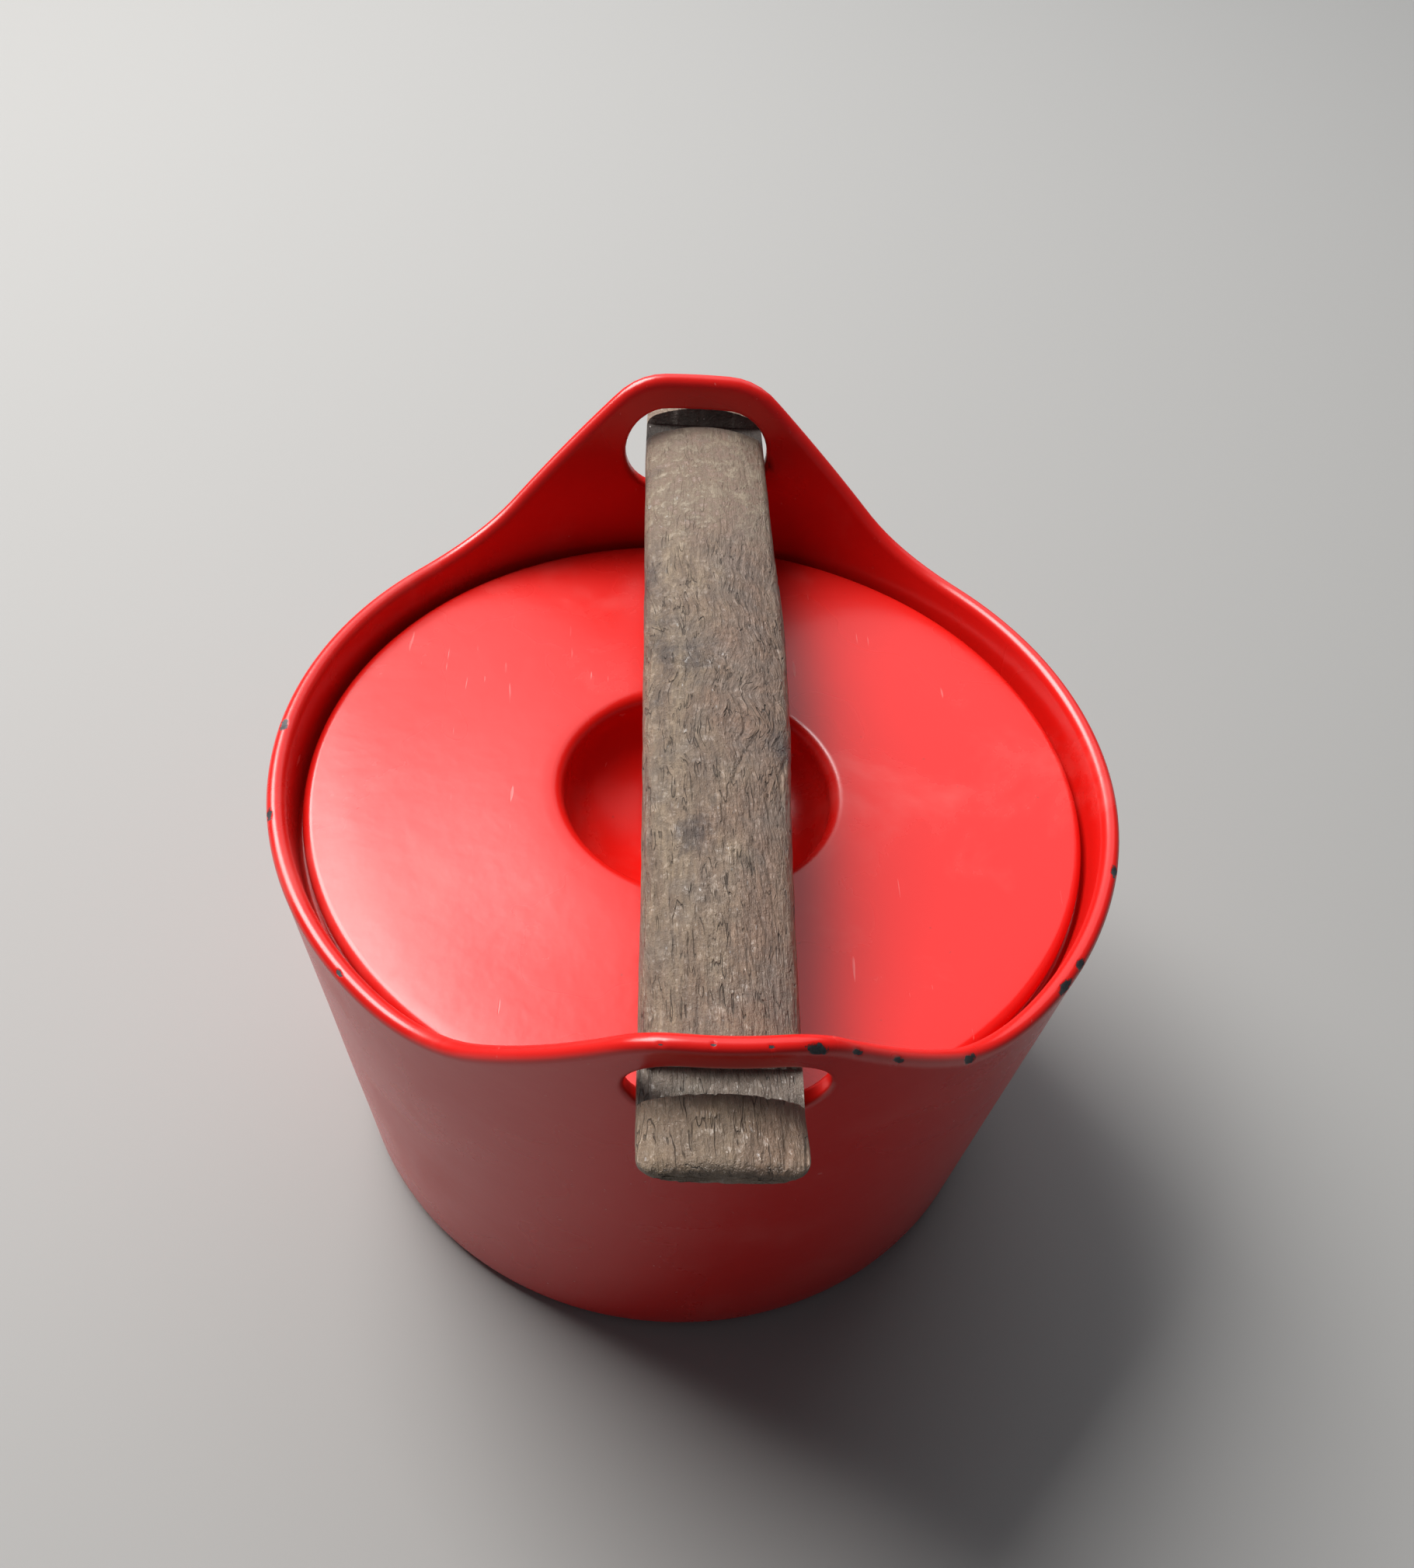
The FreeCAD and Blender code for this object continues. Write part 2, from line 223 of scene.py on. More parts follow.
def makePot():
    size = potSizes
    wall = size["wall"]
    turns = rimTurns()
    points, faces, chips, inside = [], [], [], []

    def add(x, y, z, chip=4.0, within=0.0):
        points.append((x, y, z))
        chips.append(chip)
        inside.append(within)
        return len(points) - 1

    def ring(radius, z, within=0.0):
        return [add(radius * math.sin(t), radius * math.cos(t), z, within=within) for t in turns]

    # A point on the wall, moved along X from its column by aside, then straight in by depth
    def column(turn, aside, z, depth, chip=4.0):
        full = outerRadius(z)
        if abs(aside) > 1e-7:
            side = math.asin(math.sin(turn) + aside / full)
            turn = math.pi - side if math.cos(turn) < 0 else side
        return add((full - depth) * math.sin(turn), (full - depth) * math.cos(turn), z, chip)

    # Underside, bottom corner and outer wall
    tan = math.tan(wallSlope)
    corner = size["baseCorner"]
    cornerX = size["baseRadius"] + corner * tan - corner / math.cos(wallSlope)
    rows = [[add(0, 0, 0)]]
    rows += [ring(cornerX * f, 0) for f in (0.2, 0.4, 0.6, 0.8, 0.93, 1)]
    cornerTurn = math.pi / 2 - wallSlope
    for a in roundStep(-math.pi / 2, -math.pi / 2 + cornerTurn, 7):
        rows.append(ring(cornerX + corner * math.cos(a), corner + corner * math.sin(a)))
    bandLow = size["rimHeight"] - 4.5 * mm
    wallLow = corner - corner * math.sin(wallSlope)
    rows += [ring(outerRadius(z), z) for z in roundStep(wallLow, bandLow, 22)]

    # Upper wall, rounded rim and the inside of the upper wall, column by column
    upperRows, rimRows = 16, 12
    outerFirst = len(rows) - 1
    sheet = []
    for turn in turns:
        # Where this column meets the rim line
        z = bandLow
        for _ in range(6):
            z, slope = rimLine(outerRadius(z) * math.sin(turn))
        lean = math.sqrt(1 + slope ** 2)
        line = []
        startAside, startZ = wall / 2 * slope / lean, z - wall / 2 / lean
        for f in roundStep(0, 1, upperRows):
            line.append(column(turn, startAside * f, bandLow + (startZ - bandLow) * f, 0))
        for f in roundStep(0, 1, rimRows)[:-1]:
            angle = f * math.pi
            down = wall / 2 * (1 - math.sin(angle))
            chip = chipDepth(turn, f)
            sunk = size["chipSink"] * max(0.0, min(1.0, -chip * 2))
            line.append(column(turn, (down + sunk) * slope / lean, z - (down + sunk) / lean,
                               wall / 2 * (1 - math.cos(angle) * (1 - sunk / wall)), chip))
        for f in [1] + roundStep(1, 0, upperRows):
            line.append(column(turn, startAside * f, bandLow + (startZ - bandLow) * f, wall))
        sheet.append(line)
    rows += [[line[level] for line in sheet] for level in range(len(sheet[0]))]
    innerFirst = outerFirst + upperRows + rimRows

    # Inside: down to the lid's seat, the ledge, the lower wall and the floor
    seatZ = size["rimHeight"] - size["seatDepth"]
    seatOut = outerRadius(seatZ) - wall
    ledge = seatOut - size["seatLedge"]
    soft = 0.9 * mm
    rows += [ring(outerRadius(z) - wall, z) for z in roundStep(bandLow, seatZ + soft, 4)]
    for a in roundStep(0, math.pi / 2, 4):
        rows.append(ring(seatOut - soft + soft * math.cos(a), seatZ + soft - soft * math.sin(a), 0.0))
    rows.append(ring(ledge + soft * 1.6, seatZ))
    for a in roundStep(0, math.pi / 2, 4):
        rows.append(ring(ledge + soft - soft * math.sin(a), seatZ - soft + soft * math.cos(a), 1.0))
    innerLow = outerRadius(size["floorThickness"]) - size["lowerWall"]
    innerSlope = math.atan((ledge - innerLow) / (seatZ - size["floorThickness"]))
    bend = size["innerCorner"]
    bendX = innerLow + bend * math.tan(innerSlope) - bend / math.cos(innerSlope)
    bendZ = size["floorThickness"] + bend
    wallEnd = bendZ - bend * math.sin(innerSlope)
    for z in roundStep(seatZ - soft, wallEnd, 18):
        rows.append(ring(innerLow + (z - size["floorThickness"]) * math.tan(innerSlope), z, 1.0))
    for a in roundStep(-innerSlope, -math.pi / 2, 7):
        rows.append(ring(bendX + bend * math.cos(a), bendZ + bend * math.sin(a), 1.0))
    rows += [ring(bendX * f, size["floorThickness"], 1.0) for f in (0.9, 0.7, 0.5, 0.3, 0.12)]
    rows.append([add(0, 0, size["floorThickness"], within=1.0)])

    # Columns that the two hole patches take the place of
    patchHalf = size["holeWidth"] / 2 + 5.5 * mm
    patches = []
    for centre in (math.pi, 2 * math.pi):
        inPatch = [i for i, t in enumerate(turns)
                   if abs(t - centre) < math.asin(patchHalf / outerRadius(size["rimHeight"] + 12 * mm))]
        patches.append((inPatch[0], inPatch[-1]))

    def inHole(level, i):
        outside = outerFirst <= level < outerFirst + upperRows
        within = innerFirst <= level < innerFirst + upperRows
        return (outside or within) and any(a <= i < b for a, b in patches)

    addRows(faces, rows, skip=inHole)

    # Vertex numbers round a patch: along the low row, up, back along the high row, down
    def border(first, last, low, high):
        loop = [rows[low][i] for i in range(first, last)]
        step = 1 if high > low else -1
        loop += [rows[level][last] for level in range(low, high, step)]
        loop += [rows[high][i] for i in range(last, first, -1)]
        loop += [rows[level][first] for level in range(high, low, -step)]
        return loop

    holeZ = lugTop - size["archHeight"] - size["holeHeight"] / 2
    edge, shift = size["holeRound"], size["holeShift"]
    for first, last in patches:
        outer = border(first, last, outerFirst, outerFirst + upperRows)
        inner = border(first, last, innerFirst + upperRows, innerFirst)
        side = 1 if points[outer[0]][1] > 0 else -1
        ways = [((points[k][0] - shift) * size["holeHeight"] / size["holeWidth"], points[k][2] - holeZ)
                for k in outer]

        def onWall(x, z, depth):
            radius = outerRadius(z) - depth
            return add(x, side * math.sqrt(radius ** 2 - x ** 2), z)

        def outline(grow, depth):
            return [onWall(shift + sx, holeZ + sz, depth)
                    for sx, sz in (stadiumPoint(way, grow) for way in ways)]

        def between(loop, depth, fractions):
            made = []
            for f in fractions:
                ringRow = []
                for k, way in zip(loop, ways):
                    sx, sz = stadiumPoint(way, edge)
                    ringRow.append(onWall(points[k][0] * (1 - f) + (shift + sx) * f,
                                          points[k][2] * (1 - f) + (holeZ + sz) * f, depth))
                made.append(ringRow)
            return made

        patch = [outer] + between(outer, 0, roundStep(0, 1, 6))
        for a in roundStep(0, math.pi / 2, 5):
            patch.append(outline(edge * (1 - math.sin(a)), edge * (1 - math.cos(a))))
        patch += [outline(0, d) for d in roundStep(edge, wall - edge, 2)]
        for a in roundStep(0, math.pi / 2, 5):
            patch.append(outline(edge * (1 - math.cos(a)), wall - edge * (1 - math.sin(a))))
        patch += between(inner, wall, list(reversed(roundStep(0, 1, 6)))[1:]) + [inner]
        addRows(faces, patch)

    for i, p in enumerate(points):
        reach = math.hypot(p[0], p[1]) or 1
        push = size["castUnevenness"] * wave(p, 38 * mm, 3.0) * min(1, p[2] / (10 * mm))
        points[i] = (p[0] * (1 + push / reach), p[1] * (1 + push / reach), p[2])
    pot = makePiece("potShell", points, faces, {"chip": chips, "inside": inside})
    print("pot", len(pot.data.polygons), "faces")
    return pot


lidSizes = {
    "flange": 5.9 * mm,
    "edgeRound": 2.6 * mm,
    "plate": 4.4 * mm,
    "ringHeight": 5.0 * mm,
    "ringWidth": 4.5 * mm,
    "ringRadius": 92.57 * mm,
    "recessRadius": 33.2 * mm,
    "recessDepth": 22.0 * mm,
    "recessRound": 3.4 * mm,
    "recessWall": 4.2 * mm,
    "barWidth": 15.0 * mm,
    "barThickness": 8.4 * mm,
    "barDrop": 0.8 * mm,
    "barRound": 3.4 * mm,
    "barFlare": 3.0 * mm,
    "dish": 0.35 * mm,
    "castUnevenness": 0.12 * mm,
    "columns": 224,
}


def makeLid():
    size = lidSizes
    top = lidHigh.z
    radius = lidHigh.x
    bottom = top - size["flange"]
    recessTop = top - size["recessRound"]
    bowl = size["recessDepth"] - size["recessRound"]
    width = size["recessRadius"]
    edge = size["edgeRound"]
    profile = [(width * math.sin(a), recessTop - bowl * math.cos(a), 0.0)
               for a in roundStep(0, math.pi / 2, 26)]
    for a in roundStep(math.pi, math.pi / 2, 7):
        profile.append((width + size["recessRound"] * (1 + math.cos(a)),
                        recessTop + size["recessRound"] * math.sin(a), 0.0))
    first = width + size["recessRound"]
    for r in roundStep(first, radius - edge, 22):
        sag = size["dish"] * math.sin(math.pi * (r - first) / (radius - edge - first)) ** 2
        profile.append((r, top - sag, 0.0))
    for a in roundStep(math.pi / 2, 0, 8):
        profile.append((radius - edge + edge * math.cos(a), top - edge + edge * math.sin(a), 0.0))
    soft = 0.7 * mm
    profile.append((radius, bottom + soft * 2, 0.0))
    for a in roundStep(0, -math.pi / 2, 4):
        profile.append((radius - soft + soft * math.cos(a), bottom + soft + soft * math.sin(a), 0.3))
    ringOut = size["ringRadius"]
    ringIn = ringOut - size["ringWidth"]
    ringLow = bottom - size["ringHeight"]
    profile += [(ringOut + soft, bottom, 1.0), (ringOut + 0.2 * soft, bottom - 0.3 * soft, 1.0),
                (ringOut, bottom - soft, 1.0), (ringOut, ringLow + soft * 2, 1.0)]
    for a in roundStep(0, -math.pi, 8):
        profile.append((ringOut - size["ringWidth"] / 2 * (1 - math.cos(a)),
                        ringLow + soft * 2 * (1 + math.sin(a)), 1.0))
    under = top - size["plate"]
    for a in roundStep(0, math.pi / 2, 5):
        profile.append((ringIn - soft * 2 * (1 - math.cos(a)),
                        under - soft * 2 * (1 - math.sin(a)), 1.0))
    outWidth = width + size["recessWall"]
    outDepth = bowl + size["recessWall"]
    meet = math.acos((recessTop - under) / outDepth) if under < recessTop else math.pi / 2
    meetRadius = outWidth * math.sin(meet)
    profile += [(r, under, 1.0) for r in roundStep(ringIn - soft * 2, meetRadius + 2.5 * mm, 8)]
    profile.append((meetRadius + 0.9 * mm, under - 0.5 * mm, 1.0))
    for a in roundStep(meet, 0, 22)[:-1]:
        profile.append((outWidth * math.sin(a), recessTop - outDepth * math.cos(a), 1.0))

    points, faces, inside = [], [], []
    turns = [2 * math.pi * i / size["columns"] for i in range(size["columns"])]
    rows = [[0]]
    points.append((0, 0, recessTop - bowl))
    inside.append(0.0)
    for r, z, within in profile:
        rows.append(list(range(len(points), len(points) + len(turns))))
        points += [(r * math.sin(t), r * math.cos(t), z) for t in turns]
        inside += [within] * len(turns)
    rows.append([len(points)])
    points.append((0, 0, recessTop - outDepth))
    inside.append(1.0)
    addRows(faces, rows)
    for i, p in enumerate(points):
        lift = size["castUnevenness"] * wave(p, 45 * mm, 7.0)
        lift *= min(1, math.hypot(p[0], p[1]) / (40 * mm))
        points[i] = (p[0], p[1], min(p[2] + lift, top))
    lid = makePiece("lidPlate", points, faces, {"inside": inside})
    joinBar(lid, top)
    print("lid", len(lid.data.polygons), "faces")
    return lid


# The lifting bar across the recess: a rounded bar that flares into the wall at each end
def joinBar(lid, top):
    size = lidSizes
    reach = size["recessRadius"] + size["recessWall"] * 0.45
    barTop = top - size["barDrop"]
    centreZ = barTop - size["barThickness"] / 2
    steps, around = 72, 40
    points, faces, rows = [], [], []
    for s in range(steps + 1):
        y = -reach + 2 * reach * s / steps
        toWall = max(0.0, size["recessRadius"] - 0.4 * mm - abs(y))
        flare = size["barFlare"]
        grow = flare - math.sqrt(flare ** 2 - (flare - min(toWall, flare)) ** 2)
        grow = min(grow, size["barDrop"] * 0.9 + 2 * mm)
        row = []
        for k in range(around):
            a = 2 * math.pi * k / around
            c, d = math.cos(a), math.sin(a)
            power = 0.42
            x = (size["barWidth"] / 2 + grow) * math.copysign(abs(c) ** power, c)
            rise = size["barThickness"] / 2 * math.copysign(abs(d) ** (power + 0.15), d)
            z = centreZ + rise + (-grow if d < 0 else min(grow, size["barDrop"] * 0.5)) * abs(d)
            sag = 0.5 * mm * math.cos(math.pi * y / (2 * reach))
            row.append(len(points))
            points.append((x, y, z - sag))
        rows.append(row)
    addRows(faces, rows)
    faces.append(list(reversed(rows[0])))
    faces.append(rows[-1])
    bar = makePiece("barBlank", points, faces, {"inside": [0.0] * len(points)})
    joined = lid.modifiers.new("bar", "BOOLEAN")
    joined.operation = "UNION"
    joined.solver = "EXACT"
    joined.object = bar
    evaluated = lid.evaluated_get(bpy.context.evaluated_depsgraph_get())
    mesh = bpy.data.meshes.new_from_object(evaluated)
    lid.modifiers.clear()
    lid.data = mesh
    bpy.data.objects.remove(bar)
    mesh.polygons.foreach_set("use_smooth", [True] * len(mesh.polygons))
    mesh.set_sharp_from_angle(angle=math.radians(50))


handleSizes = {
    "near": 32.0 * mm,
    "thickness": 19.0 * mm,
    "crown": 4.0 * mm,
    "edge": 10.3 * mm,
    "shoulder": 4.0 * mm,
    "turn": 1.05,
    "shift": 1.0 * mm,
    "notchIn": 101.3 * mm,
    "notchOut": 109.9 * mm,
    "notchDepth": 5.5 * mm,
    "endCorner": 4.2 * mm,
    "endTopRound": 2.6 * mm,
    "endFace": 2.3 * mm,
    "endSweep": 14.0 * mm,
    "endSwell": 1.0 * mm,
    "grainDepth": 0.15 * mm,
    "broadDepth": 0.10 * mm,
    "dentDepth": 0.14 * mm,
    "checkDepth": 0.35 * mm,
    "edgeWear": 0.45 * mm,
    "nearLonger": 1.1 * mm,
}

# The bar's two sides seen from above, hand-worn: place along the bar, then -X side, +X side
handleSides = [
    (-125.0, -15.9, 15.7),
    (-105.0, -15.8, 15.8),
    (-85.0, -15.75, 16.0),
    (-60.0, -15.7, 16.4),
    (-35.0, -15.7, 17.1),
    (-15.0, -15.8, 18.0),
    (5.0, -15.95, 18.4),
    (25.0, -15.95, 18.4),
    (45.0, -16.1, 17.8),
    (70.0, -16.3, 17.0),
    (95.0, -16.4, 16.5),
    (125.0, -16.2, 15.9),
]


# Values between a table's rows, on a smooth curve through them
def smoothTable(table, y):
    places = [row[0] * mm for row in table]
    i = max(1, min(len(places) - 3, int(np.searchsorted(places, y)) - 1))
    i = min(i, len(table) - 3)
    p = [np.array(table[k][1:]) * mm for k in (i - 1, i, i + 1, i + 2)]
    t = (y - places[i]) / (places[i + 1] - places[i])
    return 0.5 * (2 * p[1] + (p[2] - p[0]) * t + (2 * p[0] - 5 * p[1] + 4 * p[2] - p[3]) * t ** 2
                  + (3 * p[1] - p[0] - 3 * p[2] + p[3]) * t ** 3)


# The bar's cross-section as unit points: x from -1 to 1, z from 0 below to 1 on top
def handleSection(count):
    size = handleSizes
    half = size["near"] / 2
    thick, crown = size["thickness"], size["crown"]
    radius = (half ** 2 + crown ** 2) / (2 * crown)
    outline = []
    edge, shoulder = size["edge"], size["shoulder"]
    for a in np.linspace(-math.pi / 2, 0, 14):
        outline.append((half - edge + edge * math.cos(a), edge + edge * math.sin(a)))
    # The shoulder's arc touches the side and the crown
    inner = radius - shoulder
    crownZ = thick - radius
    sideX = half - shoulder
    sideZ = crownZ + math.sqrt(inner ** 2 - sideX ** 2)
    turnEnd = math.atan2(sideZ - crownZ, sideX)
    for a in np.linspace(0, turnEnd, 10):
        outline.append((sideX + shoulder * math.cos(a), sideZ + shoulder * math.sin(a)))
    for a in np.linspace(turnEnd, math.pi / 2, 14)[1:]:
        outline.append((radius * math.cos(a), crownZ + radius * math.sin(a)))
    outline = np.array(outline + [(-x, z) for x, z in reversed(outline[:-1])])
    outline = np.vstack([outline, outline[:1]])
    steps = np.concatenate([[0], np.cumsum(np.hypot(*np.diff(outline, axis=0).T))])
    # Three quarters of the points lie above the widest line
    top = (steps[13], steps[-15])
    above = np.linspace(top[0], top[1], int(count * 0.75))
    below = np.linspace(top[1], steps[-1] + top[0], count - len(above) + 2)[1:-1] % steps[-1]
    places = np.concatenate([above, below])
    x = np.interp(places, steps, outline[:, 0]) / half
    z = np.interp(places, steps, outline[:, 1]) / thick
    return x, z


# Places of the cross-sections: even, finer at the notches and at the ends
def handleStations(end):
    size = handleSizes
    places = list(np.linspace(-end + 5 * mm, end - 5 * mm, 400))
    for side in (-1, 1):
        places += [side * (end - 5 * mm * (1 - math.sin(a))) for a in np.linspace(0, math.pi / 2, 22)]
        for step in (size["notchIn"], size["notchOut"]):
            for offset in (0.05, 0.16, 0.32, 0.5, 0.7, 0.9):
                places += [side * (step - offset * mm), side * (step + offset * mm)]
    places = sorted(places)
    kept = [places[0]]
    for y in places[1:]:
        if y - kept[-1] > 0.04 * mm:
            kept.append(y)
    return kept


def makeHandle():
    size = handleSizes
    end = (handleHigh.y - handleLow.y) / 2
    low, top = handleLow.z, handleHigh.z
    unitX, unitZ = handleSection(184)
    stations = handleStations(end)
    notchZ = top - size["notchDepth"]
    faceHigh = top - size["endTopRound"]
    faceLow = faceHigh - size["endFace"]
    turn = Matrix.Rotation(-math.radians(size["turn"]), 3, "Z")
    shift = Vector((size["shift"], 0, 0))
    points, rows, cut = [], [], []
    edgeSoft = size["edgeWear"]
    for y in stations:
        left, right = smoothTable(handleSides, y)
        centre, half = (left + right) / 2, (right - left) / 2
        gap = max(0.0, end - abs(y))
        bottomHere, topHere = low, top
        if gap < size["endSweep"]:
            f = 1 - gap / size["endSweep"]
            bottomHere = low + (faceLow - low) * f ** 1.12
        if gap < size["endTopRound"]:
            r = size["endTopRound"]
            topHere = top - r + math.sqrt(max(0, r ** 2 - (r - gap) ** 2))
        if gap < size["endCorner"]:
            r = size["endCorner"]
            half -= r - math.sqrt(max(0, r ** 2 - (r - gap) ** 2))
        # Notch: full depth between its two steps, with the steps' top edges a little worn
        away = max(size["notchIn"] - abs(y), abs(y) - size["notchOut"])
        place = y
        if y < -size["notchOut"]:
            place -= size["nearLonger"] * min(1, (-y - size["notchOut"]) / (10 * mm))
        drop = 0.0
        if 0 < away < edgeSoft:
            drop = edgeSoft - math.sqrt(edgeSoft ** 2 - (edgeSoft - away) ** 2)
        row = []
        for x, z in zip(unitX, unitZ):
            px = centre + half * x
            pz = bottomHere + (topHere - bottomHere) * z
            sawn = 0.0
            if away <= 0 and pz > notchZ:
                floorHere = notchZ + 0.25 * mm * wave((px, y, 0), 5 * mm, 2.0)
                pz = min(pz, floorHere)
            elif drop and pz > notchZ:
                pz -= drop * min(1, (pz - notchZ) / mm)
            # Marks the notch's sawn faces; the wood material greys them, and paints shade into them at
            # the far notch
            if away < 0.12 * mm and pz > notchZ - 0.6 * mm:
                sawn = 1.0
            row.append(len(points))
            points.append(Vector((px, place, pz)))
            cut.append(sawn)
        rows.append(row)
    faces = []
    addRows(faces, rows)
    for row in (rows[0], rows[-1]):
        middle = sum((points[k] for k in row), Vector()) / len(row)
        points.append(middle)
        cut.append(0.0)
        addRows(faces, [row, [len(points) - 1]])
    handle = makePiece("handleBar", points, faces, {"sawn": cut})
    wearHandle(handle)
    handle.data.transform(Matrix.Translation(shift) @ turn.to_4x4())
    print("handle", len(handle.data.polygons), "faces")
    return handle


# Furrowed grain, a few open checks and soft wear, pushed along the normals
def wearHandle(handle):
    mesh = handle.data
    size = handleSizes
    moves = []
    for v in mesh.vertices:
        x, y, z = v.co
        figured = math.exp(-((y - 2 * mm) / (44 * mm)) ** 4)
        bend = (1.5 + 7.0 * figured) * mm * wave((x, y, z), 30 * mm, 5.0)
        worn = 0.35 + 0.65 / (1 + math.exp((y - 52 * mm) / (6 * mm)))
        furrow = wave((x + bend, y * 0.16, z), 1.25 * mm, 1.0)
        broad = wave((x + bend, y * 0.22, z), 4.0 * mm, 9.0)
        dents = wave((x, y, z), 12 * mm, 4.0)
        check = wave((x + bend, y * 0.10, z), 2.0 * mm, 21.0)
        depth = worn * (size["grainDepth"] * furrow + size["broadDepth"] * broad)
        depth += size["dentDepth"] * dents
        if check > 0.40:
            depth -= worn * min(size["checkDepth"], (check - 0.40) * 2.0 * mm)
        moves.append(v.normal * (min(depth, size["dentDepth"]) - size["dentDepth"]))
    for v, move in zip(mesh.vertices, moves):
        v.co += move
    mesh.update()


def addNode(tree, kind, feeds=None, **settings):
    node = tree.nodes.new(kind)
    for name, value in settings.items():
        setattr(node, name, value)
    for name, value in (feeds or {}).items():
        if isinstance(value, bpy.types.NodeSocket):
            tree.links.new(value, node.inputs[name])
        else:
            node.inputs[name].default_value = value
    return node


def noiseNode(tree, vector, scale, detail=4.0, roughness=0.55, distortion=0.0):
    node = addNode(tree, "ShaderNodeTexNoise", {"Vector": vector, "Scale": scale, "Detail": detail,
                                                "Roughness": roughness, "Distortion": distortion})
    return node.outputs["Fac"]


def mathNode(tree, operation, a, b=0.0, clamp=False):
    return addNode(tree, "ShaderNodeMath", {0: a, 1: b}, operation=operation, use_clamp=clamp).outputs[0]


# Value from low to high becomes start to stop, smoothly and never past them
def spread(tree, value, low, high, start=0.0, stop=1.0):
    return addNode(tree, "ShaderNodeMapRange",
                   {"Value": value, "From Min": low, "From Max": high, "To Min": start, "To Max": stop},
                   interpolation_type="SMOOTHSTEP").outputs["Result"]


def mixColour(tree, factor, a, b, blend="MIX"):
    return addNode(tree, "ShaderNodeMix", {0: factor, 6: a, 7: b},
                   data_type="RGBA", blend_type=blend).outputs[2]


def stretch(tree, vector, scale):
    return addNode(tree, "ShaderNodeVectorMath", {0: vector, 1: scale}, operation="MULTIPLY").outputs[0]


def makeGroup(name, inputs, outputs):
    group = bpy.data.node_groups.new(name, "ShaderNodeTree")
    for label, kind, value in inputs:
        socket = group.interface.new_socket(label, in_out="INPUT", socket_type=kind)
        if value is not None:
            socket.default_value = value
    for label, kind in outputs:
        group.interface.new_socket(label, in_out="OUTPUT", socket_type=kind)
    source = group.nodes.new("NodeGroupInput")
    target = group.nodes.new("NodeGroupOutput")
    return group, source.outputs, target.inputs


def useGroup(tree, group, feeds):
    return addNode(tree, "ShaderNodeGroup", feeds, node_tree=group).outputs


def newMaterial(name):
    material = bpy.data.materials.new(name)
    material.use_nodes = True
    tree = material.node_tree
    shader = tree.nodes["Principled BSDF"]
    where = tree.nodes.new("ShaderNodeTexCoord").outputs["Object"]
    return material, tree, shader, where


def setShader(shader, **values):
    for name, value in values.items():
        shader.inputs[name.replace("_", " ")].default_value = value


# Fine scratches in two directions, and cloudy scuffs
def hairlineGroup():
    group, given, made = makeGroup("hairlines", [
        ("Vector", "NodeSocketVector", None), ("Amount", "NodeSocketFloat", 0.5)],
        [("Scratch", "NodeSocketFloat"), ("Scuff", "NodeSocketFloat")])
    lines = None
    for turn, scale in ((0.4, 640.0), (1.9, 760.0), (2.7, 560.0)):
        turned = addNode(group, "ShaderNodeMapping", {"Vector": given["Vector"], "Rotation": (0, 0, turn),
                                                      "Scale": (1.0, 0.09, 1.0)}).outputs[0]
        field = noiseNode(group, turned, scale, 1.0, 0.5, 0.3)
        line = spread(group, field, 0.765, 0.80)
        patchy = spread(group, noiseNode(group, given["Vector"], 10.0 + scale / 25, 2.0), 0.50, 0.64)
        line = mathNode(group, "MULTIPLY", line, patchy)
        lines = line if lines is None else mathNode(group, "MAXIMUM", lines, line)
    cloud = spread(group, noiseNode(group, given["Vector"], 22.0, 6.0, 0.62, 0.4), 0.52, 0.78)
    group.links.new(mathNode(group, "MULTIPLY", lines, given["Amount"]), made["Scratch"])
    group.links.new(mathNode(group, "MULTIPLY", cloud, given["Amount"]), made["Scuff"])
    return group


# Colour and bump of old glossy enamel: slight mottling, specks and orange peel
def enamelGroup():
    group, given, made = makeGroup("enamelCoat", [
        ("Vector", "NodeSocketVector", None), ("Colour", "NodeSocketColor", (0.7, 0.02, 0.01, 1)),
        ("Mottle", "NodeSocketFloat", 0.5)],
        [("Colour", "NodeSocketColor"), ("Height", "NodeSocketFloat"), ("Dull", "NodeSocketFloat")])
    big = spread(group, noiseNode(group, given["Vector"], 14.0, 3.0), 0.3, 0.7)
    fine = noiseNode(group, given["Vector"], 900.0, 2.0, 0.5)
    darker = mixColour(group, 0.16, given["Colour"], (0.25, 0.0, 0.0, 1))
    factor = mathNode(group, "MULTIPLY", big, given["Mottle"])
    colour = mixColour(group, factor, given["Colour"], darker)
    speck = spread(group, noiseNode(group, given["Vector"], 520.0, 1.0), 0.78, 0.83)
    colour = mixColour(group, mathNode(group, "MULTIPLY", speck, 0.25), colour, (0.12, 0.02, 0.015, 1))
    peel = noiseNode(group, given["Vector"], 160.0, 2.0, 0.5)
    height = mathNode(group, "ADD", mathNode(group, "MULTIPLY", peel, 0.7),
                      mathNode(group, "MULTIPLY", fine, 0.12))
    group.links.new(colour, made["Colour"])
    group.links.new(height, made["Height"])
    group.links.new(big, made["Dull"])
    return group


hairlines = hairlineGroup()
enamelCoat = enamelGroup()

enamelLook = {
    "red": (0.70, 0.009, 0.006, 1),
    "cream": (0.80, 0.76, 0.66, 1),
    "iron": (0.022, 0.028, 0.034, 1),
    "ironGrain": (0.055, 0.060, 0.066, 1),
    "ironEdge": (0.060, 0.012, 0.010, 1),
    "scuff": (0.80, 0.45, 0.40, 1),
    "scratch": (0.85, 0.62, 0.58, 1),
    "roughness": 0.25,
}


